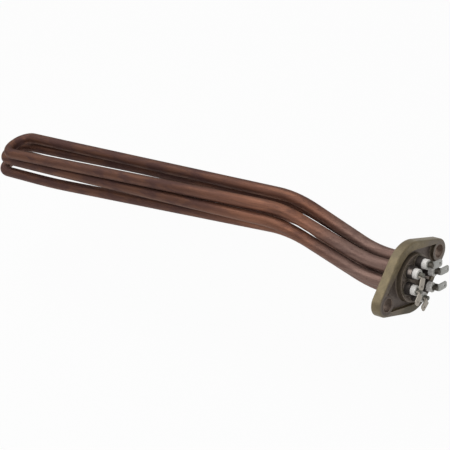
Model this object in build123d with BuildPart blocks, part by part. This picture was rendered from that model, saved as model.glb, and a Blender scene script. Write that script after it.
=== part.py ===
from build123d import *
from collections import namedtuple
from math import cos, radians, sin, tan
import os

os.makedirs("parts", exist_ok=True)

# Frame of the part
# The origin is the centre of the flange's sealing face, on the liquid side.
# +X points out of the flange to the terminals, Y runs through the two bolt holes and Z is up.
# All sizes are in millimetres and all angles in degrees.

# Flange
bolt_spacing = 60.0
bolt_hole_diameter = 9.0
flange_thickness = 7.0
tip_radius = 8.2
waist_radius = 24.0
rim_width_at_tips = 2.8
pocket_waist_radius = 18.6
pocket_depth = 2.8
hub_radius = 16.0
hub_height = 1.5
hub_edge_rounding = 0.5
boss_radius = 6.6
front_edge_rounding = 1.2
back_edge_rounding = 0.5
pocket_floor_rounding = 0.8
tube_hole_clearance = 0.05

# Heating tubes
sheath_diameter = 8.5
sheath_wall = 0.8
leg_circle_radius = 10.6
tube_stand = 4.5
packing_gap = 0.05

# Offset bend and far run, the same in every leg
first_bend_distance = 23.6
first_bend_radius = 56.0
offset_slope = 24.8
offset_length = 67.9
second_bend_radius = 67.4
far_run_droop = 1.7
lift_length = 70.0
lift_bend_radius = 600.0
crown_flat = 1.5

# Each loop's own shape
# The leg angle gives the place of its two holes on the leg circle, measured from the bolt line.
# Spacings are measured across a loop's two legs, at the shoulder behind the offset bend and at
# the crown of the return bend. Shifts are along Y and drops along Z, both from the loop's place
# in the flange. The lift raises the last stretch before the crown, and the reach is the depth
# of the crown behind the flange.
upper_leg_angle = 60.0
upper_shoulder_spacing = 14.9
upper_shoulder_shift = -0.3
upper_shoulder_drop = 0.3
upper_crown_spacing = 25.6
upper_crown_shift = -0.7
upper_crown_drop = 0.1
upper_crown_lift = 0.2
upper_crown_reach = 390.5

middle_leg_angle = 0.0
middle_shoulder_spacing = 24.9
middle_shoulder_shift = -0.1
middle_shoulder_drop = 0.1
middle_crown_spacing = 25.3
middle_crown_shift = 1.3
middle_crown_drop = -0.1
middle_crown_lift = 0.5
middle_crown_reach = 402.0

lower_leg_angle = -60.0
lower_shoulder_spacing = 13.7
lower_shoulder_shift = 0.5
lower_shoulder_drop = -0.9
lower_crown_spacing = 25.4
lower_crown_shift = -1.2
lower_crown_drop = 5.5
lower_crown_lift = 4.2
lower_crown_reach = 407.1

# Resistance coil and the pins that feed it
coil_diameter = 3.0
coil_wall = 0.25
pin_diameter = 3.0
pin_inner_depth = 10.0
pin_stand = 6.7
pin_end_chamfer = 0.3
pin_flat_depth = 0.4

# Ceramic beads in the tube mouths
bead_stand = 3.8
bead_seat_depth = 2.5
bead_clearance = 0.1
bead_bore_clearance = 0.1
bead_rounding = 0.9
bead_mouth_chamfer = 0.3

# Spade tabs on the pins
tab_width = 4.8
tab_thickness = 0.8
tab_root_length = 2.6
tab_reach = 7.8
tab_bend_radius = 0.9
tab_bend = 86.0
tab_tip_chamfer = 1.0
tab_hole_diameter = 1.5
tab_hole_from_tip = 2.4

# Lean of each tab below the horizontal
upper_left_lean = 46.0
upper_right_lean = 20.0
middle_left_lean = 25.0
middle_right_lean = 16.5
lower_left_lean = 13.0
lower_right_lean = 15.0

# Brazed joints around the tubes
braze_leg = 0.9

# Places worked out from the sizes above
sheath_radius = sheath_diameter / 2
bore_radius = sheath_radius - sheath_wall
fill_radius = bore_radius - packing_gap
hub_face = flange_thickness + hub_height
tube_end = hub_face + tube_stand
pin_end = tube_end + pin_stand
pin_radius = pin_diameter / 2
axis_x = Vector(1, 0, 0)

Loop = namedtuple(
    "Loop",
    "name leg_angle shoulder_spacing shoulder_shift shoulder_drop"
    " crown_spacing crown_shift crown_drop crown_lift crown_reach left_lean right_lean",
)
upper_loop = Loop(
    name="upper",
    leg_angle=upper_leg_angle,
    shoulder_spacing=upper_shoulder_spacing,
    shoulder_shift=upper_shoulder_shift,
    shoulder_drop=upper_shoulder_drop,
    crown_spacing=upper_crown_spacing,
    crown_shift=upper_crown_shift,
    crown_drop=upper_crown_drop,
    crown_lift=upper_crown_lift,
    crown_reach=upper_crown_reach,
    left_lean=upper_left_lean,
    right_lean=upper_right_lean,
)
middle_loop = Loop(
    name="middle",
    leg_angle=middle_leg_angle,
    shoulder_spacing=middle_shoulder_spacing,
    shoulder_shift=middle_shoulder_shift,
    shoulder_drop=middle_shoulder_drop,
    crown_spacing=middle_crown_spacing,
    crown_shift=middle_crown_shift,
    crown_drop=middle_crown_drop,
    crown_lift=middle_crown_lift,
    crown_reach=middle_crown_reach,
    left_lean=middle_left_lean,
    right_lean=middle_right_lean,
)
lower_loop = Loop(
    name="lower",
    leg_angle=lower_leg_angle,
    shoulder_spacing=lower_shoulder_spacing,
    shoulder_shift=lower_shoulder_shift,
    shoulder_drop=lower_shoulder_drop,
    crown_spacing=lower_crown_spacing,
    crown_shift=lower_crown_shift,
    crown_drop=lower_crown_drop,
    crown_lift=lower_crown_lift,
    crown_reach=lower_crown_reach,
    left_lean=lower_left_lean,
    right_lean=lower_right_lean,
)
loops = [upper_loop, middle_loop, lower_loop]


def leg_place(loop, side):
    """Centre of one leg's hole in the flange; side is -1 on the left and +1 on the right."""
    y = side * leg_circle_radius * cos(radians(loop.leg_angle))
    z = leg_circle_radius * sin(radians(loop.leg_angle))
    return y, z


legs = [(loop, side) for loop in loops for side in (-1, 1)]
leg_places = [leg_place(loop, side) for loop, side in legs]


def leg_corners(loop, side, start):
    """Corners of one leg, from its mouth at x = start to the crown of the return bend."""
    y, z = leg_place(loop, side)
    rise = offset_length * sin(radians(offset_slope))
    shoulder_x = -first_bend_distance - offset_length * cos(radians(offset_slope))
    far_run = loop.crown_reach + shoulder_x
    fall = far_run * tan(radians(far_run_droop))
    shoulder_share = (shoulder_x + first_bend_distance) / (first_bend_distance - loop.crown_reach)
    shoulder_y = loop.shoulder_shift + side * loop.shoulder_spacing / 2
    shoulder_fall = loop.crown_drop * shoulder_share + loop.shoulder_drop
    crown_y = loop.crown_shift + side * loop.crown_spacing / 2
    shoulder = Vector(shoulder_x, shoulder_y, z + rise - shoulder_fall)
    unlifted_crown = Vector(-loop.crown_reach, crown_y, z + rise - fall - loop.crown_drop)
    lift_start = shoulder + (unlifted_crown - shoulder) * (1 - lift_length / far_run)
    crown = unlifted_crown + Vector(0, 0, loop.crown_lift)
    return [Vector(start, y, z), Vector(-first_bend_distance, y, z), shoulder, lift_start, crown]


def loop_route(loop, start):
    """Corners and bend radii of a whole loop, from the left leg's mouth to the right leg's."""
    left = leg_corners(loop, -1, start)
    right = leg_corners(loop, 1, start)
    crown_turn = (left[-1] - left[-2]).get_angle(right[-1] - left[-1])
    crown_radius = (loop.crown_spacing - crown_flat) / 2 / tan(radians(crown_turn / 2))
    leg_radii = [first_bend_radius, second_bend_radius, lift_bend_radius]
    radii = leg_radii + [crown_radius, crown_radius] + leg_radii[::-1]
    return left + right[::-1], radii


def loop_tube(loop, start, outer_radius, inner_radius=0.0):
    """Round tube, or rod without an inner radius, swept along one loop."""
    corners, radii = loop_route(loop, start)
    with BuildPart() as tube:
        with BuildLine() as route:
            FilletPolyline(*corners, radius=radii)
        with BuildSketch(Plane(origin=corners[0], x_dir=(0, 1, 0), z_dir=(-1, 0, 0))):
            Circle(outer_radius)
            if inner_radius > 0:
                Circle(inner_radius, mode=Mode.SUBTRACT)
        sweep(path=route.wires()[0])
    return tube.part


def tab_plane(loop, side):
    """Plane of a tab's bend, with its local x along the pin and its local y away from the pin."""
    lean = radians(loop.left_lean if side < 0 else loop.right_lean)
    outwards = Vector(0, side * cos(lean), -sin(lean))
    return Plane(origin=(pin_end, *leg_place(loop, side)), x_dir=axis_x, z_dir=axis_x.cross(outwards))


# Flange
with BuildPart() as flange:
    with BuildSketch(Plane.YZ):
        Circle(waist_radius)
        with Locations((-bolt_spacing / 2, 0), (bolt_spacing / 2, 0)):
            Circle(tip_radius)
        make_hull()
    extrude(amount=flange_thickness)
    fillet(flange.faces().sort_by(Axis.X)[-1].edges(), radius=front_edge_rounding)
    fillet(flange.faces().sort_by(Axis.X)[0].edges(), radius=back_edge_rounding)

    # The hub stands a little above the rim
    with BuildSketch(Plane.YZ.offset(flange_thickness)):
        Circle(hub_radius)
    extrude(amount=hub_height)
    fillet(flange.faces().sort_by(Axis.X)[-1].edges(), radius=hub_edge_rounding)

    # Moulded pocket between the rim, the hub and the two bolt bosses
    with BuildSketch(Plane.YZ.offset(flange_thickness)):
        Circle(pocket_waist_radius)
        with Locations((-bolt_spacing / 2, 0), (bolt_spacing / 2, 0)):
            Circle(tip_radius - rim_width_at_tips)
        make_hull()
        Circle(hub_radius, mode=Mode.SUBTRACT)
        with Locations((-bolt_spacing / 2, 0), (bolt_spacing / 2, 0)):
            Circle(boss_radius, mode=Mode.SUBTRACT)
    extrude(amount=-pocket_depth, mode=Mode.SUBTRACT)
    pocket_floor = flange.faces().filter_by(Axis.X).group_by(Axis.X)[1]
    fillet(pocket_floor.edges(), radius=pocket_floor_rounding)

    # Bolt holes and tube holes
    with BuildSketch(Plane.YZ):
        with Locations((-bolt_spacing / 2, 0), (bolt_spacing / 2, 0)):
            Circle(bolt_hole_diameter / 2)
        with Locations(*leg_places):
            Circle(sheath_radius + tube_hole_clearance)
    extrude(amount=hub_face, mode=Mode.SUBTRACT)
flange.part.label = "flange"
export_step(flange.part, "parts/flange.step")

# Copper sheaths, their insulating fill and their resistance coils
for loop in loops:
    sheath = loop_tube(loop, tube_end, sheath_radius, bore_radius)
    sheath.label = f"{loop.name}_sheath"
    export_step(sheath, f"parts/{sheath.label}.step")

    fill_start = tube_end - bead_seat_depth
    fill = loop_tube(loop, fill_start, fill_radius, coil_diameter / 2 + packing_gap)
    fill.label = f"{loop.name}_magnesia_fill"
    export_step(fill, f"parts/{fill.label}.step")

    coil = loop_tube(loop, -pin_inner_depth, coil_diameter / 2, coil_diameter / 2 - coil_wall)
    coil.label = f"{loop.name}_resistance_coil"
    export_step(coil, f"parts/{coil.label}.step")

# Terminal at the mouth of each leg
for (loop, side), place in zip(legs, leg_places):
    side_name = "left" if side < 0 else "right"
    terminal_name = f"{loop.name}_{side_name}"
    bend_plane = tab_plane(loop, side)

    # Steel pin, with a flat for the tab
    with BuildPart() as pin:
        with BuildSketch(Plane.YZ.offset(-pin_inner_depth)):
            with Locations(place):
                Circle(pin_radius)
        extrude(amount=pin_end + pin_inner_depth)
        chamfer(pin.faces().sort_by(Axis.X)[-1].edges(), length=pin_end_chamfer)
        with BuildSketch(bend_plane):
            with Locations((0, pin_radius)):
                Rectangle(2 * tab_root_length, 2 * pin_flat_depth)
        extrude(amount=pin_diameter, both=True, mode=Mode.SUBTRACT)
    pin.part.label = f"{terminal_name}_pin"
    export_step(pin.part, f"parts/{pin.part.label}.step")

    # Ceramic bead, pushed into the tube's mouth
    with BuildPart() as bead:
        with BuildSketch(Plane.YZ.offset(tube_end - bead_seat_depth)):
            with Locations(place):
                Circle(bore_radius - bead_clearance)
                Circle(pin_radius + bead_bore_clearance, mode=Mode.SUBTRACT)
        extrude(amount=bead_seat_depth + bead_stand)
        front_edges = bead.faces().sort_by(Axis.X)[-1].edges().sort_by(SortBy.RADIUS)
        chamfer(front_edges[0], length=bead_mouth_chamfer)
        front_edges = bead.faces().filter_by(Axis.X)[-1].edges().sort_by(SortBy.RADIUS)
        fillet(front_edges[-1], radius=bead_rounding)
    bead.part.label = f"{terminal_name}_bead"
    export_step(bead.part, f"parts/{bead.part.label}.step")

    # Spade tab, folded from one strip
    blade = Vector(cos(radians(tab_bend)), sin(radians(tab_bend)), 0)
    strip_offset = pin_radius - pin_flat_depth + tab_thickness / 2
    fold = Vector(0, strip_offset, 0)
    tip = fold + blade * tab_reach
    blade_direction = bend_plane.from_local_coords(tip) - bend_plane.from_local_coords(fold)
    blade_normal = blade_direction.cross(bend_plane.z_dir)
    with BuildPart() as tab:
        with BuildSketch(bend_plane):
            with BuildLine():
                FilletPolyline((-tab_root_length, strip_offset), fold, tip, radius=tab_bend_radius)
            trace(line_width=tab_thickness)
        extrude(amount=tab_width / 2, both=True)
        tip_corners = (
            tab.edges()
            .filter_by(Axis((0, 0, 0), blade_normal))
            .sort_by(Axis((0, 0, 0), blade_direction))[-2:]
        )
        chamfer(tip_corners, length=tab_tip_chamfer)
        hole_centre = bend_plane.from_local_coords(tip - blade * tab_hole_from_tip)
        with BuildSketch(Plane(origin=hole_centre, z_dir=blade_normal)):
            Circle(tab_hole_diameter / 2)
        extrude(amount=tab_thickness, both=True, mode=Mode.SUBTRACT)
    tab.part.label = f"{terminal_name}_tab"
    export_step(tab.part, f"parts/{tab.part.label}.step")

# Brazing metal round each tube, on both sides of the flange
for joint_name, face_x, outwards_x in (("terminal_side", hub_face, 1), ("tube_side", 0.0, -1)):
    with BuildPart() as brazing:
        for place in leg_places:
            joint_plane = Plane(origin=(face_x, *place), x_dir=(outwards_x, 0, 0), z_dir=(0, 0, outwards_x))
            with BuildSketch(joint_plane):
                with BuildLine():
                    Polyline(
                        (0, sheath_radius),
                        (0, sheath_radius + braze_leg),
                        (braze_leg, sheath_radius),
                        close=True,
                    )
                make_face()
            revolve(axis=Axis((face_x, *place), (1, 0, 0)))
    brazing.part.label = f"{joint_name}_brazing"
    export_step(brazing.part, f"parts/{brazing.part.label}.step")
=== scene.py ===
import math

import bpy
from bpy.props import FloatProperty, FloatVectorProperty, PointerProperty
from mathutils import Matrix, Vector


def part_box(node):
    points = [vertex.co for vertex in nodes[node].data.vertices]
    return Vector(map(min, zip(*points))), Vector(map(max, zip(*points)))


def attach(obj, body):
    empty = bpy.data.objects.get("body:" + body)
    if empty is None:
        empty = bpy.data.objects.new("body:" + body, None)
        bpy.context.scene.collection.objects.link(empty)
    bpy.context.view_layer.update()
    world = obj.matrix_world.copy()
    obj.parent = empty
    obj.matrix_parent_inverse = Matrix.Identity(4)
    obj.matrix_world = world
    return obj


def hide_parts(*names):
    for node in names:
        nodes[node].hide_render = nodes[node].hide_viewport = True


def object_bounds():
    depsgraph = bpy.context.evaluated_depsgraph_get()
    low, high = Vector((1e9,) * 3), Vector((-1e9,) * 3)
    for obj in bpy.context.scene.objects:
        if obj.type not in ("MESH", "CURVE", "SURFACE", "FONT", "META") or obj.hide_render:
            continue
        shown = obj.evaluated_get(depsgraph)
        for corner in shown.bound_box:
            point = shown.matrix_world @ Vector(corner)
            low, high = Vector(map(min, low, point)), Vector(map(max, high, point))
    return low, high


bl_info = {
    "name": "Flanged tubular heating element",
    "version": (1, 0, 0),
    "blender": (4, 5, 0),
    "location": "3D View > Sidebar > Heating element",
    "description": "Finishes and details a flanged tubular heating element and sets its stage",
    "category": "Object",
}

# The frame: every size below is in metres, with the origin on the flange's sealing face,
# +X towards the terminals, Y through the bolt holes and Z up.
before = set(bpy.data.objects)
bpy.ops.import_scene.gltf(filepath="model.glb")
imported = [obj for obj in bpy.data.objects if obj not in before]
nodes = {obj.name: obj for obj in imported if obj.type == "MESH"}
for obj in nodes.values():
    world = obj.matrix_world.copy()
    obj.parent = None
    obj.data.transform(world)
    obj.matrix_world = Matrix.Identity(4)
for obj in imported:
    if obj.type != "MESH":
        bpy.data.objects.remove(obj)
cad_box = [list(corner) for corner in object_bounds()]
x_axis, y_axis, z_axis = range(3)
loop_names = ("upper", "middle", "lower")
terminal_names = [f"{loop}_{side}" for loop in loop_names for side in ("left", "right")]

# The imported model's tube radius, and how far its bolt holes and its tips lie from the middle
tube_radius = 0.00425
bolt_offset = 0.030
tip_offset = 0.036

# How far the finish of each round form reaches from its axis
hub_reach = 0.0162
tip_reach = 0.021
boss_reach = 0.0067
bore_reach = 0.00475

# Cuts across a settling tube, from behind the flange to the crown
section_step = 0.005
section_places = [-section_step * number for number in range(3, 79)]

# Where the settling of a loop's right leg starts, is full, begins to fade and has ended, along X.
# At the crown it doesn't fade, so its stretch ends far past the loop.
middle_crown_stretch = (-0.235, -0.410, -1, -2)
middle_bend_stretch = (-0.045, -0.078, -0.105, -0.150)
lower_bend_stretch = (-0.036, -0.056, -0.068, -0.088)

# Half of the width, across the middle, in which the settling grows towards the right leg
middle_blend = 0.010
lower_blend = 0.001

# Corners that stay sharp in smooth shading, and corners that a press has rounded
smooth_angle = math.radians(35)
pressed_angle = math.radians(40)


# Properties


def colour_field(name, description, default):
    return FloatVectorProperty(
        name=name, description=description, default=default, size=3, min=0, max=1, subtype="COLOR"
    )


def length_field(name, description, default):
    return FloatProperty(name=name, description=description, default=default, unit="LENGTH")


def power_field(name, description, default):
    return FloatProperty(name=name, description=description, default=default, unit="POWER")


def place_field(name, description, default):
    return FloatVectorProperty(
        name=name, description=description, default=default, subtype="XYZ_LENGTH", unit="LENGTH"
    )


class ElementFinish(bpy.types.PropertyGroup):
    """Colours of the element's finishes"""

    copper_brown: colour_field("Brown oxide", "Even brown oxide on most of the copper", (0.138, 0.063, 0.040))
    copper_plum: colour_field("Plum oxide", "Darker, cooler patches of oxide", (0.084, 0.041, 0.035))
    copper_warm: colour_field("Warm copper", "Thinner oxide on the offset bend", (0.255, 0.114, 0.070))
    copper_dusty: colour_field("Dusty copper", "Greyish pink behind the flange", (0.232, 0.152, 0.127))
    # Near black colour given to the tube mouths past the hub's face
    copper_mouth_dark: colour_field("Scorched copper", "Grey black scale on the mouths", (0.052, 0.045, 0.042))
    # Also the painted highlight on the upper left mouth, besides the lighter rubs on the mouths
    copper_rubbed_and_highlight: colour_field("Bare copper", "Small rubbed spots on the tube mouths", (0.420, 0.360, 0.325))
    brass_khaki: colour_field("Dull brass", "Dull brass on the flange's edge and rim", (0.215, 0.170, 0.096))
    brass_olive: colour_field("Olive brass", "Darker clouds on the flange's edge", (0.120, 0.096, 0.058))
    brass_brown: colour_field("Brass patina", "Brown patina on the tips and bosses", (0.135, 0.108, 0.088))
    brass_purple: colour_field("Heat tint", "Purple brown heat tint in the pocket", (0.112, 0.087, 0.074))
    # Painted light: the bolt holes are coloured lighter than their bosses, standing in for light that reaches
    # their far walls
    brass_bore_painted_light: colour_field("Bolt holes", "Red brown patina inside the bolt holes", (0.195, 0.142, 0.112))
    brass_umber: colour_field("Umber patina", "Dark red brown on the left boss", (0.066, 0.045, 0.034))
    brass_rubbed: colour_field("Rubbed brass", "Pinkish rubbed brass along the edges", (0.300, 0.225, 0.165))
    # Also painted shade: the flange's corners and the lower part of its front are darkened with this colour
    brass_grime_and_shade: colour_field("Brass grime", "Dark grime in the flange's corners", (0.072, 0.058, 0.034))
    ceramic_white: colour_field("Ceramic", "Glazed white of the beads", (0.76, 0.735, 0.705))
    # Also painted shade on the beads' fronts and where the beads face their neighbours
    ceramic_soot_and_shade: colour_field("Ceramic dust", "Grey green dust on the beads", (0.27, 0.27, 0.23))
    pin_dark: colour_field("Scaled steel", "Scale on the pins and the tabs' roots", (0.082, 0.075, 0.060))
    # Painted light: the left pins and the left tabs' roots are coloured lighter than the right ones, which
    # stand in shade
    pin_painted_light: colour_field("Cleaner steel", "Thinner scale on the left terminals", (0.150, 0.148, 0.125))
    tab_pale: colour_field("Plated steel", "Dull nickel plate on the tabs' blades", (0.37, 0.37, 0.35))
    tab_tan: colour_field("Tarnished plate", "Tan tarnish on the left tabs' blades", (0.36, 0.32, 0.27))


class ElementShape(bpy.types.PropertyGroup):
    """Sizes of the modelled pieces"""

    fillet_reach: length_field("Brazing reach", "How far the brazing metal runs out from a tube", 0.0008)
    fillet_lumps: length_field("Brazing lumps", "How uneven the brazing metal is", 0.0006)
    fillet_grain: length_field("Brazing grain", "How large the lumps in the brazing metal are", 0.0022)
    tab_edge: length_field("Tab edge", "Rounding of the pressed edges of a tab", 0.0001)
    crown_ease: place_field(
        "Crown ease", "How far the middle loop's right leg settles at its crown", (0, -0.00125, -0.0014)
    )
    middle_bend_ease: place_field(
        "Middle bend ease",
        "How far the middle loop's right leg settles in its bend",
        (0, -0.00065, -0.000728),
    )
    lower_bend_ease: place_field(
        "Lower bend ease", "How far the lower loop's right leg settles in its bend", (0, -0.00095, -0.0011)
    )


class ElementStage(bpy.types.PropertyGroup):
    """Floor, light and camera"""

    floor_drop: length_field("Floor below the flange", "Height of the lowest point above the floor", 0.05)
    floor_colour: colour_field("Floor colour", "Pale paint of the floor", (0.62, 0.62, 0.62))
    floor_glow: FloatProperty(
        name="Floor whiteness",
        description="Share of plain white in what is seen of the floor",
        default=0.94,
        min=0,
        max=1,
        subtype="FACTOR",
    )
    key_power: power_field("Key light", "Power of the large soft light overhead", 5)
    side_power: power_field("Side light", "Power of the soft light above the camera's left", 4)
    fill_power: power_field("Fill light", "Power of the soft light beside the camera", 0.8)
    camera_place: place_field("Camera place", "Where the camera stands", (0.40006, -0.46097, 0.45492))
    camera_turn: FloatVectorProperty(
        name="Camera turn",
        description="How the camera is turned",
        default=(0.98891, 0.25767, 0.71375),
        subtype="EULER",
        unit="ROTATION",
    )
    camera_lens: FloatProperty(
        name="Lens", description="Focal length on a 36 mm sensor", default=93.77, unit="CAMERA"
    )


# Shader building

# Sockets of a Mix node, which go by number because each kind of value uses the same names
mix_factor = 0
mix_values = (2, 3)
mix_colours = (6, 7)
mixed_value = 0
mixed_colour = 2


def add_node(tree, kind, inputs=None, **settings):
    """A shader node with its settings and plain input values."""
    made = tree.nodes.new(kind)
    for name, value in settings.items():
        setattr(made, name, value)
    for name, value in (inputs or {}).items():
        made.inputs[name].default_value = value
    return made


def new_group(name, values, output):
    """A shader node group with a vector input, float inputs with their values, and one output."""
    group = bpy.data.node_groups.new(name, "ShaderNodeTree")
    group.interface.new_socket("Vector", in_out="INPUT", socket_type="NodeSocketVector")
    for socket_name, value in values.items():
        socket = group.interface.new_socket(socket_name, in_out="INPUT", socket_type="NodeSocketFloat")
        socket.default_value = value
    group.interface.new_socket(output, in_out="OUTPUT", socket_type="NodeSocketFloat")
    given = group.nodes.new("NodeGroupInput")
    result = group.nodes.new("NodeGroupOutput")
    return group, given.outputs, result.inputs


def mottle_group():
    """Cloudy patches: a mask that is 0 below Low and 1 above High."""
    if "Mottle" in bpy.data.node_groups:
        return bpy.data.node_groups["Mottle"]
    values = {"Scale": 60, "Detail": 5, "Distortion": 0.4, "Low": 0.4, "High": 0.6}
    group, given, result = new_group("Mottle", values, "Mask")
    link = group.links.new
    noise = add_node(group, "ShaderNodeTexNoise", {"Roughness": 0.6})
    spread = add_node(group, "ShaderNodeMapRange", interpolation_type="SMOOTHSTEP")
    for name in ("Vector", "Scale", "Detail", "Distortion"):
        link(given[name], noise.inputs[name])
    link(noise.outputs["Fac"], spread.inputs["Value"])
    link(given["Low"], spread.inputs["From Min"])
    link(given["High"], spread.inputs["From Max"])
    link(spread.outputs["Result"], result["Mask"])
    return group


def worn_edge_group():
    """Rubbed edges: a mask on the corners, broken up by noise."""
    if "Worn edges" in bpy.data.node_groups:
        return bpy.data.node_groups["Worn edges"]
    values = {"Radius": 0.0008, "Scale": 500, "Amount": 1}
    group, given, result = new_group("Worn edges", values, "Mask")
    link = group.links.new
    bevel = add_node(group, "ShaderNodeBevel", samples=6)
    geometry = add_node(group, "ShaderNodeNewGeometry")
    compare = add_node(group, "ShaderNodeVectorMath", operation="DOT_PRODUCT")
    turn = add_node(group, "ShaderNodeMapRange", {"From Min": 0.995, "From Max": 0.86})
    noise = add_node(group, "ShaderNodeTexNoise", {"Detail": 4})
    broken = add_node(group, "ShaderNodeMapRange", {"From Min": 0.35, "From Max": 0.6})
    both = add_node(group, "ShaderNodeMath", operation="MULTIPLY")
    scaled = add_node(group, "ShaderNodeMath", operation="MULTIPLY", use_clamp=True)
    link(given["Radius"], bevel.inputs["Radius"])
    link(bevel.outputs["Normal"], compare.inputs[0])
    link(geometry.outputs["Normal"], compare.inputs[1])
    link(compare.outputs["Value"], turn.inputs["Value"])
    link(given["Vector"], noise.inputs["Vector"])
    link(given["Scale"], noise.inputs["Scale"])
    link(noise.outputs["Fac"], broken.inputs["Value"])
    link(turn.outputs["Result"], both.inputs[0])
    link(broken.outputs["Result"], both.inputs[1])
    link(both.outputs["Value"], scaled.inputs[0])
    link(given["Amount"], scaled.inputs[1])
    link(scaled.outputs["Value"], result["Mask"])
    return group


def occlusion_shade_group():
    """Painted shade in corners: a mask where the surface faces its neighbours closely, broken up by noise."""
    if "Occlusion shade" in bpy.data.node_groups:
        return bpy.data.node_groups["Occlusion shade"]
    values = {"Reach": 0.004, "Scale": 400, "Low": 0.25, "High": 0.75}
    group, given, result = new_group("Occlusion shade", values, "Mask")
    link = group.links.new
    shade = add_node(group, "ShaderNodeAmbientOcclusion", samples=8)
    hidden = add_node(group, "ShaderNodeMath", {0: 1.0}, operation="SUBTRACT")
    noise = add_node(group, "ShaderNodeTexNoise", {"Detail": 4})
    shift = add_node(group, "ShaderNodeMath", {1: 0.5}, operation="SUBTRACT")
    soften = add_node(group, "ShaderNodeMath", {1: 0.6}, operation="MULTIPLY")
    total = add_node(group, "ShaderNodeMath", operation="ADD")
    spread = add_node(group, "ShaderNodeMapRange", interpolation_type="SMOOTHSTEP")
    link(given["Reach"], shade.inputs["Distance"])
    link(shade.outputs["AO"], hidden.inputs[1])
    link(given["Vector"], noise.inputs["Vector"])
    link(given["Scale"], noise.inputs["Scale"])
    link(noise.outputs["Fac"], shift.inputs[0])
    link(shift.outputs["Value"], soften.inputs[0])
    link(hidden.outputs["Value"], total.inputs[0])
    link(soften.outputs["Value"], total.inputs[1])
    link(total.outputs["Value"], spread.inputs["Value"])
    link(given["Low"], spread.inputs["From Min"])
    link(given["High"], spread.inputs["From Max"])
    link(spread.outputs["Result"], result["Mask"])
    return group


def surface_grain_group():
    """Small relief: coarse dents and fine grit, mixed to one height."""
    if "Surface grain" in bpy.data.node_groups:
        return bpy.data.node_groups["Surface grain"]
    values = {"Dents": 250, "Grit": 2500, "Grit share": 0.4}
    group, given, result = new_group("Surface grain", values, "Height")
    link = group.links.new
    dents = add_node(group, "ShaderNodeTexNoise", {"Detail": 3})
    grit = add_node(group, "ShaderNodeTexNoise", {"Detail": 2})
    blend = add_node(group, "ShaderNodeMix", data_type="FLOAT")
    link(given["Vector"], dents.inputs["Vector"])
    link(given["Vector"], grit.inputs["Vector"])
    link(given["Dents"], dents.inputs["Scale"])
    link(given["Grit"], grit.inputs["Scale"])
    link(given["Grit share"], blend.inputs[mix_factor])
    link(dents.outputs["Fac"], blend.inputs[mix_values[0]])
    link(grit.outputs["Fac"], blend.inputs[mix_values[1]])
    link(blend.outputs[mixed_value], result["Height"])
    return group


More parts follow.
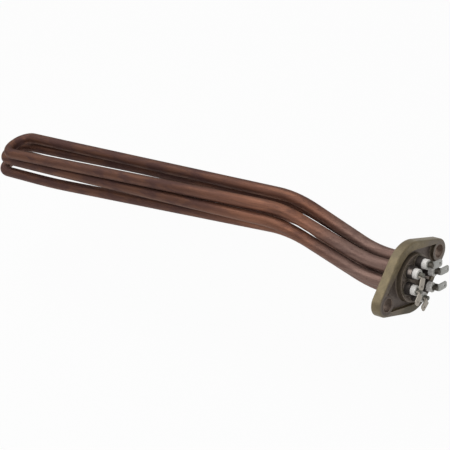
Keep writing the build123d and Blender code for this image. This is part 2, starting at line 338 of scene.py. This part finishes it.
class Finish:
    """A material under construction: a Principled shader and what feeds it."""

    def __init__(self, name, metallic, roughness):
        self.material = bpy.data.materials.new(name)
        self.material.use_nodes = True
        self.tree = self.material.node_tree
        self.shader = self.tree.nodes["Principled BSDF"]
        self.shader.inputs["Metallic"].default_value = metallic
        self.shader.inputs["Roughness"].default_value = roughness
        self.place = add_node(self.tree, "ShaderNodeTexCoord").outputs["Object"]

    def link(self, source, target):
        self.tree.links.new(source, target)

    def stretched(self, x, y, z):
        """Object coordinates scaled along each axis."""
        mapping = add_node(self.tree, "ShaderNodeMapping", {"Scale": (x, y, z)})
        self.link(self.place, mapping.inputs["Vector"])
        return mapping.outputs["Vector"]

    def group(self, shared, vector=None, **values):
        """A shared node group placed in this material with its own values."""
        made = add_node(self.tree, "ShaderNodeGroup", node_tree=shared)
        self.link(vector or self.place, made.inputs["Vector"])
        for name, value in values.items():
            made.inputs[name.replace("_", " ").capitalize()].default_value = value
        return made.outputs[0]

    def mottle(self, vector=None, **values):
        """Cloudy patches with their own values."""
        return self.group(mottle_group(), vector, **values)

    def along(self, axis, start, end):
        """A mask that goes from 0 at start to 1 at end along one axis."""
        parts = add_node(self.tree, "ShaderNodeSeparateXYZ")
        limits = {"From Min": start, "From Max": end}
        spread = add_node(self.tree, "ShaderNodeMapRange", limits, interpolation_type="SMOOTHSTEP")
        self.link(self.place, parts.inputs[0])
        self.link(parts.outputs[axis], spread.inputs["Value"])
        return spread.outputs["Result"]

    def facing(self, axis, low, high):
        """A mask of the faces that look along one axis."""
        normal = add_node(self.tree, "ShaderNodeTexCoord").outputs["Normal"]
        parts = add_node(self.tree, "ShaderNodeSeparateXYZ")
        spread = add_node(self.tree, "ShaderNodeMapRange", {"From Min": low, "From Max": high})
        self.link(normal, parts.inputs[0])
        self.link(parts.outputs[axis], spread.inputs["Value"])
        return spread.outputs["Result"]

    def around(self, offset, radius, softness):
        """A mask that is 1 inside a radius round an axis along X, on both sides of the middle."""
        parts = add_node(self.tree, "ShaderNodeSeparateXYZ")
        both = add_node(self.tree, "ShaderNodeMath", operation="ABSOLUTE")
        shift = add_node(self.tree, "ShaderNodeMath", {1: offset}, operation="SUBTRACT")
        flat = add_node(self.tree, "ShaderNodeCombineXYZ")
        length = add_node(self.tree, "ShaderNodeVectorMath", operation="LENGTH")
        limits = {"From Min": radius + softness, "From Max": radius - softness}
        spread = add_node(self.tree, "ShaderNodeMapRange", limits)
        self.link(self.place, parts.inputs[0])
        self.link(parts.outputs[y_axis], both.inputs[0])
        self.link(both.outputs[0], shift.inputs[0])
        self.link(shift.outputs[0], flat.inputs[y_axis])
        self.link(parts.outputs[z_axis], flat.inputs[z_axis])
        self.link(flat.outputs[0], length.inputs[0])
        self.link(length.outputs["Value"], spread.inputs["Value"])
        return spread.outputs["Result"]

    def times(self, first, second):
        """Two masks, or a mask and a number, multiplied."""
        made = add_node(self.tree, "ShaderNodeMath", operation="MULTIPLY", use_clamp=True)
        self.link(first, made.inputs[0])
        if isinstance(second, (int, float)):
            made.inputs[1].default_value = second
        else:
            self.link(second, made.inputs[1])
        return made.outputs[0]

    def mix(self, mask, low, high):
        """Colour that goes from low to high with a mask; each is a colour or an output."""
        made = add_node(self.tree, "ShaderNodeMix", data_type="RGBA")
        self.link(mask, made.inputs[mix_factor])
        for value, number in zip((low, high), mix_colours):
            socket = made.inputs[number]
            if isinstance(value, bpy.types.NodeSocket):
                self.link(value, socket)
            else:
                socket.default_value = (*value, 1)
        return made.outputs[mixed_colour]

    def vary_roughness(self, mask, low, high):
        """Roughness that goes from low to high with a mask."""
        spread = add_node(self.tree, "ShaderNodeMapRange", {"To Min": low, "To Max": high})
        self.link(mask, spread.inputs["Value"])
        self.link(spread.outputs["Result"], self.shader.inputs["Roughness"])

    def colour(self, output):
        self.link(output, self.shader.inputs["Base Color"])

    def relief(self, depth, vector=None, **values):
        """Surface grain of a depth in metres."""
        height = self.group(surface_grain_group(), vector, **values)
        bump = add_node(self.tree, "ShaderNodeBump", {"Strength": 1, "Distance": depth})
        self.link(height, bump.inputs["Height"])
        self.link(bump.outputs["Normal"], self.shader.inputs["Normal"])


# Materials


def oxidised_copper(finish):
    made = Finish("oxidised copper", 0.55, 0.48)
    made.shader.inputs["Specular IOR Level"].default_value = 0.35
    made.shader.inputs["Specular Tint"].default_value = (0.70, 0.60, 0.55, 1)
    drawn = made.stretched(0.22, 1, 1)
    drawn_fine = made.stretched(0.05, 1, 1)
    patches = made.mottle(drawn, scale=150, detail=7, low=0.42, high=0.60)
    thin_oxide = made.mottle(drawn, scale=60, detail=5, low=0.30, high=0.58)
    streaks = made.mottle(drawn_fine, scale=420, detail=4, low=0.42, high=0.66)
    specks = made.mottle(scale=1100, detail=3, low=0.56, high=0.68)
    rubs = made.mottle(scale=420, detail=3, low=0.60, high=0.66)

    # The long run is brown and plum, the offset bend warmer, and the part behind the flange dusty
    offset_bend = made.times(made.along(x_axis, -0.020, -0.060), made.along(x_axis, -0.190, -0.100))
    left_bend = made.times(offset_bend, made.along(y_axis, 0.020, -0.004))
    near_flange = made.times(made.along(x_axis, -0.075, -0.030), 0.85)
    brown = made.mix(patches, finish.copper_brown, finish.copper_plum)
    warm = made.mix(made.times(left_bend, thin_oxide), brown, finish.copper_warm)
    dusty = made.mix(near_flange, warm, finish.copper_dusty)
    streaked = made.mix(made.times(streaks, 0.45), dusty, finish.copper_plum)
    run = made.mix(made.times(specks, 0.4), streaked, finish.copper_plum)

    # The mouths past the hub's face are coloured near black with a few lighter rubs, and the upper left one
    # has a painted highlight where it faces up and to the left
    upper_left = made.times(made.along(z_axis, 0.003, 0.006), made.along(y_axis, 0, -0.003))
    # Painted highlight: the face of the upper left mouth that looks up and to the left is coloured light
    # copper
    shoulder = made.times(made.facing(y_axis, -0.3, -0.6), made.facing(z_axis, 0.25, 0.55))
    painted_highlight = made.times(made.times(upper_left, shoulder), made.along(x_axis, 0.0098, 0.0108))
    dark_mouth = made.mix(made.times(rubs, 0.3), finish.copper_mouth_dark, finish.copper_rubbed_and_highlight)
    mouth = made.mix(painted_highlight, dark_mouth, finish.copper_rubbed_and_highlight)
    past_hub_face = made.along(x_axis, 0.0070, 0.0088)
    made.colour(made.mix(past_hub_face, run, mouth))
    made.vary_roughness(patches, 0.44, 0.56)
    made.relief(0.00006, drawn, dents=260, grit=2600, grit_share=0.3)
    return made.material


def forged_brass(finish):
    made = Finish("forged brass", 0.5, 0.52)
    clouds = made.mottle(scale=150, detail=6, low=0.35, high=0.65)
    speckle = made.mottle(scale=900, detail=4, low=0.48, high=0.64)
    # Painted shade: the occlusion mask darkens the flange's corners, and also makes them rougher
    corners = made.group(occlusion_shade_group(), reach=0.004, scale=350, low=0.45, high=0.95)
    edges = made.group(worn_edge_group(), radius=0.0007, scale=420, amount=0.7)
    front = made.facing(x_axis, 0.5, 0.9)
    shaded_low_front = made.times(front, made.along(z_axis, -0.009, -0.016))
    tip_front = made.times(front, made.around(tip_offset, tip_reach, softness=0.005))
    below_rim = made.times(front, made.along(x_axis, 0.0066, 0.0058))
    left_tip = made.times(made.along(y_axis, -0.018, -0.028), 0.8)

    # Edge and rim
    clouded = made.mix(made.times(clouds, 0.5), finish.brass_khaki, finish.brass_olive)
    edge = made.mix(made.times(speckle, 0.35), clouded, finish.brass_olive)
    # Painted shade on the lower part of the front
    shaded = made.mix(shaded_low_front, edge, finish.brass_grime_and_shade)
    tips = made.mix(made.times(clouds, 0.3), finish.brass_brown, finish.brass_khaki)
    rim = made.mix(tip_front, shaded, tips)

    # Pocket, bosses, hub and bolt holes
    tinted = made.mix(speckle, finish.brass_purple, finish.brass_brown)
    boss_top = made.mix(left_tip, finish.brass_brown, finish.brass_umber)
    hub_top = made.mix(made.times(speckle, 0.35), finish.brass_brown, finish.brass_rubbed)
    # Painted light inside the bolt holes, darker towards the left tip
    bore_light = made.mix(made.times(left_tip, 0.6), finish.brass_bore_painted_light, finish.brass_umber)
    pocket = made.mix(below_rim, rim, tinted)
    bosses = made.mix(made.around(bolt_offset, boss_reach, softness=0.0003), pocket, boss_top)
    hub = made.mix(made.around(0, hub_reach, softness=0.0004), bosses, hub_top)
    holes = made.mix(made.around(bolt_offset, bore_reach, softness=0.00015), hub, bore_light)

    rubbed = made.mix(edges, holes, finish.brass_rubbed)
    # Painted shade in the corners
    made.colour(made.mix(made.times(corners, 0.6), rubbed, finish.brass_grime_and_shade))
    made.vary_roughness(corners, 0.48, 0.75)
    made.relief(0.00025, dents=420, grit=2200, grit_share=0.35)
    return made.material


def brazing_metal(finish):
    made = Finish("brazing metal", 0.5, 0.55)
    clouds = made.mottle(scale=420, detail=5, low=0.4, high=0.6)
    flux = made.mottle(scale=1300, detail=3, low=0.60, high=0.70)
    dull = made.mix(clouds, finish.brass_purple, finish.brass_grime_and_shade)
    made.colour(made.mix(made.times(flux, 0.7), dull, finish.ceramic_soot_and_shade))
    made.relief(0.0003, dents=900, grit=3200, grit_share=0.3)
    return made.material


def glazed_ceramic(finish):
    made = Finish("glazed ceramic", 0.0, 0.35)
    # Painted shade: the occlusion mask greys the beads where they face their neighbours closely
    dust_and_shade = made.group(occlusion_shade_group(), reach=0.0015, scale=600, low=0.40, high=0.9)
    smudges = made.mottle(scale=520, detail=4, low=0.30, high=0.60)
    # Painted shade and soil: the beads' fronts are greyed, broken up by smudges
    front = made.times(made.along(x_axis, 0.0160, 0.0167), 0.8)
    soiled_and_shaded = made.mix(made.times(front, smudges), finish.ceramic_white, finish.ceramic_soot_and_shade)
    made.colour(made.mix(made.times(dust_and_shade, 0.35), soiled_and_shaded, finish.ceramic_soot_and_shade))
    made.vary_roughness(smudges, 0.3, 0.5)
    made.relief(0.00004, dents=1200, grit=4000, grit_share=0.3)
    return made.material


def scaled_steel(finish):
    made = Finish("scaled steel", 0.5, 0.55)
    scale = made.mottle(scale=900, detail=5, low=0.4, high=0.65)
    # Painted light: the left pins are a lighter grey
    left = made.along(y_axis, 0.002, -0.003)
    steel = made.mix(left, finish.pin_dark, finish.pin_painted_light)
    made.colour(made.mix(made.times(scale, 0.5), steel, finish.brass_brown))
    made.relief(0.0001, dents=1400, grit=5000, grit_share=0.3)
    return made.material


def plated_steel(finish):
    made = Finish("plated steel", 0.55, 0.42)
    stains = made.times(made.mottle(scale=700, detail=5, low=0.45, high=0.75), 0.5)
    left = made.along(y_axis, 0.002, -0.003)
    right_blade = made.along(x_axis, 0.0186, 0.0196)
    left_blade = made.along(x_axis, 0.0169, 0.0177)
    stained_pale = made.mix(stains, finish.tab_pale, finish.ceramic_soot_and_shade)
    stained_tan = made.mix(stains, finish.tab_tan, finish.ceramic_soot_and_shade)
    right_tab = made.mix(right_blade, finish.pin_dark, stained_pale)
    # Painted light: the left tabs' roots are a lighter grey
    left_tab = made.mix(left_blade, finish.pin_painted_light, stained_tan)
    made.colour(made.mix(left, right_tab, left_tab))
    made.relief(0.00004, dents=1200, grit=5000, grit_share=0.4)
    return made.material


def packed_magnesia(finish):
    made = Finish("packed magnesia", 0.0, 0.9)
    grains = made.mottle(scale=1800, detail=3, low=0.4, high=0.6)
    made.colour(made.mix(grains, finish.ceramic_white, finish.ceramic_soot_and_shade))
    made.relief(0.0001, dents=1800, grit=5000, grit_share=0.5)
    return made.material


def resistance_wire(finish):
    made = Finish("resistance wire", 0.9, 0.45)
    tint = made.mottle(scale=600, detail=4, low=0.4, high=0.6)
    made.colour(made.mix(tint, finish.tab_pale, finish.pin_dark))
    return made.material


def paint(material, names):
    """Gives CAD nodes their finish, in the slots they already have."""
    for name in names:
        for slot in nodes[name].material_slots:
            slot.material = material


# Modelling


def select_only(piece):
    bpy.ops.object.select_all(action="DESELECT")
    piece.select_set(True)
    bpy.context.view_layer.objects.active = piece


def edit(piece):
    """Goes into edit mode on one piece with all of it selected."""
    select_only(piece)
    bpy.ops.object.mode_set(mode="EDIT")
    bpy.ops.mesh.select_all(action="SELECT")


def smooth_by_angle(piece):
    """Smooth shading that stops at corners."""
    select_only(piece)
    bpy.ops.object.shade_smooth_by_angle(angle=smooth_angle)


def merged_copy(node, name):
    """A copy of a CAD node's mesh with its doubled points merged."""
    piece = bpy.data.objects.new(name, nodes[node].data.copy())
    bpy.context.scene.collection.objects.link(piece)
    edit(piece)
    bpy.ops.mesh.customdata_custom_splitnormals_clear()
    bpy.ops.mesh.remove_doubles(threshold=0.000001)
    bpy.ops.object.mode_set(mode="OBJECT")
    return piece


def hand_over(piece, material, replaced):
    """Gives a new piece its finish and its body, and hides the node that it stands for."""
    piece.data.materials.clear()
    piece.data.materials.append(material)
    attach(piece, "root")
    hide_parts(replaced)


def add_sections(piece):
    """Cuts a long tube across, so that a straight run can bend."""
    edit(piece)
    for x in section_places:
        bpy.ops.mesh.select_all(action="SELECT")
        bpy.ops.mesh.bisect(plane_co=(x, 0, 0), plane_no=(1, 0, 0))
    bpy.ops.object.mode_set(mode="OBJECT")


def smooth_share(value, start, end):
    """0 at start and 1 at end, with a smooth run between them."""
    share = min(max((value - start) / (end - start), 0), 1)
    return share * share * (3 - 2 * share)


def settle_right_leg(piece, stretch, blend, ease):
    """Lets the right leg of a loop settle by an ease, within one of the stretches along X."""
    begin, full, fade, end = stretch
    shift = Vector(ease)
    for point in piece.data.vertices:
        share = smooth_share(point.co.x, begin, full) * (1 - smooth_share(point.co.x, fade, end))
        share *= smooth_share(point.co.y, -blend, blend)
        point.co += shift * share


def settled_copy(loop, layer, blend, settlings):
    """A copy of one layer of a loop, settled in each of its stretches."""
    piece = merged_copy(f"{loop}_{layer}", f"settled_{loop}_{layer}")
    add_sections(piece)
    for stretch, ease in settlings:
        settle_right_leg(piece, stretch, blend, ease)
    smooth_by_angle(piece)
    return piece


class ELEMENT_OT_sheaths(bpy.types.Operator):
    """Finish the copper sheaths, and let the middle and lower loops settle with all that is in them"""

    bl_idname = "element.sheaths"
    bl_label = "Copper sheaths"

    def execute(self, context):
        finish = context.scene.element_finish
        shape = context.scene.element_shape
        copper = oxidised_copper(finish)
        layers = (
            ("sheath", copper, "copper"),
            ("magnesia_fill", packed_magnesia(finish), "magnesia"),
            ("resistance_coil", resistance_wire(finish), "nickel_chromium"),
        )
        middle_settlings = (
            (middle_crown_stretch, shape.crown_ease),
            (middle_bend_stretch, shape.middle_bend_ease),
        )
        lower_settlings = ((lower_bend_stretch, shape.lower_bend_ease),)
        loops = (("middle", middle_blend, middle_settlings), ("lower", lower_blend, lower_settlings))
        paint(copper, ["upper_sheath"])
        for layer, material, slot in layers:
            for loop, blend, settlings in loops:
                piece = settled_copy(loop, layer, blend, settlings)
                hand_over(piece, material, f"{loop}_{layer}")
        return {"FINISHED"}


def leg_places():
    """The centre of each tube in the flange, from the beads that sit in the tubes."""
    places = []
    for name in terminal_names:
        low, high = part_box(f"{name}_bead")
        places.append(((low.y + high.y) / 2, (low.z + high.z) / 2))
    return places


def brazed_ring(place, face_x, shape, lumps):
    """An uneven fillet of brazing metal round one tube, half sunk in the flange's face."""
    y, z = place
    stand_off = shape.fillet_reach * 0.35
    bpy.ops.object.select_all(action="DESELECT")
    bpy.ops.mesh.primitive_torus_add(
        location=(face_x, y, z),
        rotation=(0, math.pi / 2, 0),
        major_segments=64,
        minor_segments=16,
        major_radius=tube_radius + stand_off,
        minor_radius=shape.fillet_reach,
    )
    ring = bpy.context.active_object
    bpy.ops.object.transform_apply(location=True, rotation=True, scale=True)
    swell = ring.modifiers.new("lumps", "DISPLACE")
    swell.texture = lumps
    swell.texture_coords = "LOCAL"
    swell.strength = shape.fillet_lumps
    bpy.ops.object.modifier_apply(modifier=swell.name)
    return ring


def brazed_rings(name, face_x, shape, lumps):
    """All six rings on one face of the flange, as one mesh."""
    rings = [brazed_ring(place, face_x, shape, lumps) for place in leg_places()]
    bpy.ops.object.select_all(action="DESELECT")
    for ring in rings:
        ring.select_set(True)
    bpy.context.view_layer.objects.active = rings[0]
    bpy.ops.object.join()
    joined = bpy.context.active_object
    joined.name = name
    bpy.ops.object.shade_smooth()
    return joined


class ELEMENT_OT_flange(bpy.types.Operator):
    """Finish the brass flange and run brazing metal round the tubes"""

    bl_idname = "element.flange"
    bl_label = "Flange and brazing"

    def execute(self, context):
        finish = context.scene.element_finish
        shape = context.scene.element_shape
        paint(forged_brass(finish), ["flange"])
        metal = brazing_metal(finish)
        lumps = bpy.data.textures.new("brazing lumps", "CLOUDS")
        lumps.noise_scale = shape.fillet_grain
        hub_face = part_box("flange")[1].x
        sealing_face = 0.0
        for side, face_x in (("terminal_side", hub_face), ("tube_side", sealing_face)):
            rings = brazed_rings(f"{side}_fillets", face_x, shape, lumps)
            hand_over(rings, metal, f"{side}_brazing")
        return {"FINISHED"}


def pressed_tab(name, shape):
    """A spade tab with its pressed edges rounded."""
    tab = merged_copy(f"{name}_tab", f"{name}_pressed_tab")
    select_only(tab)
    rounding = tab.modifiers.new("pressed edge", "BEVEL")
    rounding.width = shape.tab_edge
    rounding.segments = 2
    rounding.limit_method = "ANGLE"
    rounding.angle_limit = pressed_angle
    bpy.ops.object.modifier_apply(modifier=rounding.name)
    smooth_by_angle(tab)
    return tab


class ELEMENT_OT_terminals(bpy.types.Operator):
    """Finish the ceramic beads and the pins, and round the pressed edges of the spade tabs"""

    bl_idname = "element.terminals"
    bl_label = "Terminals"

    def execute(self, context):
        finish = context.scene.element_finish
        paint(glazed_ceramic(finish), [f"{name}_bead" for name in terminal_names])
        paint(scaled_steel(finish), [f"{name}_pin" for name in terminal_names])
        plate = plated_steel(finish)
        for name in terminal_names:
            tab = pressed_tab(name, context.scene.element_shape)
            hand_over(tab, plate, f"{name}_tab")
        return {"FINISHED"}


class ELEMENT_OT_inner_parts(bpy.types.Operator):
    """Finish the magnesia fill and the resistance coil inside the upper loop"""

    bl_idname = "element.inner_parts"
    bl_label = "Inner parts"

    def execute(self, context):
        finish = context.scene.element_finish
        paint(packed_magnesia(finish), ["upper_magnesia_fill"])
        paint(resistance_wire(finish), ["upper_resistance_coil"])
        return {"FINISHED"}


# Stage


def soft_lamp(name, place, aim, size, power):
    """A large soft lamp at one place, turned to another."""
    lamp = bpy.data.lights.new(name, "AREA")
    lamp.shape = "DISK"
    lamp.size = size
    lamp.energy = power
    holder = bpy.data.objects.new(name, lamp)
    holder.location = place
    away = [b - a for a, b in zip(place, aim)]
    flat = math.hypot(away[0], away[1])
    holder.rotation_euler = (math.atan2(flat, -away[2]), 0, math.atan2(away[1], away[0]) - math.pi / 2)
    bpy.context.scene.collection.objects.link(holder)


def studio_dome(world):
    """A pale dome, brighter overhead than at the horizon, that the camera itself sees as white."""
    world.use_nodes = True
    tree = world.node_tree
    link = tree.links.new
    background = tree.nodes["Background"]
    background.inputs["Color"].default_value = (1, 1, 1, 1)
    direction = add_node(tree, "ShaderNodeTexCoord")
    parts = add_node(tree, "ShaderNodeSeparateXYZ")
    horizon_light, overhead_light = 0.28, 0.8
    levels = {"From Min": -0.1, "From Max": 0.9, "To Min": horizon_light, "To Max": overhead_light}
    height = add_node(tree, "ShaderNodeMapRange", levels)
    path = add_node(tree, "ShaderNodeLightPath")
    seen = add_node(tree, "ShaderNodeMath", operation="MAXIMUM")
    link(direction.outputs["Generated"], parts.inputs[0])
    link(parts.outputs[z_axis], height.inputs["Value"])
    link(height.outputs["Result"], seen.inputs[0])
    link(path.outputs["Is Camera Ray"], seen.inputs[1])
    link(seen.outputs[0], background.inputs["Strength"])


def floor_paint(stage):
    """Pale matt paint that the camera sees as nearly white, with the object's shadow left on it."""
    material = bpy.data.materials.new("pale floor")
    material.use_nodes = True
    tree = material.node_tree
    link = tree.links.new
    shader = tree.nodes["Principled BSDF"]
    shader.inputs["Base Color"].default_value = (*stage.floor_colour, 1)
    shader.inputs["Roughness"].default_value = 0.7
    output = tree.nodes["Material Output"]
    white = add_node(tree, "ShaderNodeEmission", {"Color": (1, 1, 1, 1), "Strength": 1})
    path = add_node(tree, "ShaderNodeLightPath")
    seen = add_node(tree, "ShaderNodeMath", operation="MAXIMUM")
    through = add_node(tree, "ShaderNodeMath", operation="MAXIMUM")
    share = add_node(tree, "ShaderNodeMath", {1: stage.floor_glow}, operation="MULTIPLY")
    blend = add_node(tree, "ShaderNodeMixShader")
    link(path.outputs["Is Camera Ray"], seen.inputs[0])
    link(path.outputs["Is Glossy Ray"], seen.inputs[1])
    link(seen.outputs[0], through.inputs[0])
    link(path.outputs["Is Transmission Ray"], through.inputs[1])
    link(through.outputs[0], share.inputs[0])
    link(share.outputs[0], blend.inputs[0])
    link(shader.outputs[0], blend.inputs[1])
    link(white.outputs[0], blend.inputs[2])
    link(blend.outputs[0], output.inputs["Surface"])
    return material


class ELEMENT_OT_stage(bpy.types.Operator):
    """Set the floor, the light and the camera"""

    bl_idname = "element.stage"
    bl_label = "Stage"

    def execute(self, context):
        stage = context.scene.element_stage
        self.add_floor(context, stage)
        self.add_lights(context, stage)
        self.add_camera(context, stage)
        context.scene.view_settings.view_transform = "Standard"
        return {"FINISHED"}

    def add_floor(self, context, stage):
        floor_width = 8
        floor_height = cad_box[0][z_axis] - stage.floor_drop
        bpy.ops.object.select_all(action="DESELECT")
        bpy.ops.mesh.primitive_plane_add(size=floor_width, location=(0, 0, floor_height))
        floor = context.active_object
        floor.name = "floor"
        floor.data.materials.append(floor_paint(stage))

    def add_lights(self, context, stage):
        soft_lamp("key light", place=(-0.75, 0.1, 1.15), aim=(-0.15, 0, 0), size=1.1, power=stage.key_power)
        soft_lamp(
            "side light", place=(-0.25, -0.80, 1.03), aim=(-0.1, 0, 0), size=0.8, power=stage.side_power
        )
        soft_lamp("fill light", place=(0.9, -1.0, 0.9), aim=(-0.1, 0, 0), size=0.9, power=stage.fill_power)
        context.scene.world = bpy.data.worlds.new("studio dome")
        studio_dome(context.scene.world)

    def add_camera(self, context, stage):
        camera = bpy.data.cameras.new("camera")
        camera.sensor_width = 36
        camera.lens = stage.camera_lens
        camera.clip_start = 0.01
        holder = bpy.data.objects.new("camera", camera)
        holder.location = stage.camera_place
        holder.rotation_euler = stage.camera_turn
        context.scene.collection.objects.link(holder)
        context.scene.camera = holder


# Panel and registration

steps = (
    ELEMENT_OT_sheaths,
    ELEMENT_OT_flange,
    ELEMENT_OT_terminals,
    ELEMENT_OT_inner_parts,
    ELEMENT_OT_stage,
)


class ELEMENT_PT_panel(bpy.types.Panel):
    """The steps that dress the heating element"""

    bl_idname = "ELEMENT_PT_panel"
    bl_label = "Heating element"
    bl_space_type = "VIEW_3D"
    bl_region_type = "UI"
    bl_category = "Heating element"

    def draw(self, context):
        scene = context.scene
        for step in steps:
            self.layout.operator(step.bl_idname)
        for group in (scene.element_finish, scene.element_shape, scene.element_stage):
            box = self.layout.box()
            for name in group.__annotations__:
                box.prop(group, name)


classes = (ElementFinish, ElementShape, ElementStage, *steps, ELEMENT_PT_panel)


def register():
    for item in classes:
        bpy.utils.register_class(item)
    bpy.types.Scene.element_finish = PointerProperty(type=ElementFinish)
    bpy.types.Scene.element_shape = PointerProperty(type=ElementShape)
    bpy.types.Scene.element_stage = PointerProperty(type=ElementStage)


def unregister():
    del bpy.types.Scene.element_stage
    del bpy.types.Scene.element_shape
    del bpy.types.Scene.element_finish
    for item in reversed(classes):
        bpy.utils.unregister_class(item)


def main():
    register()
    bpy.ops.element.sheaths()
    bpy.ops.element.flange()
    bpy.ops.element.terminals()
    bpy.ops.element.inner_parts()
    bpy.ops.element.stage()


if __name__ == "__main__":
    main()
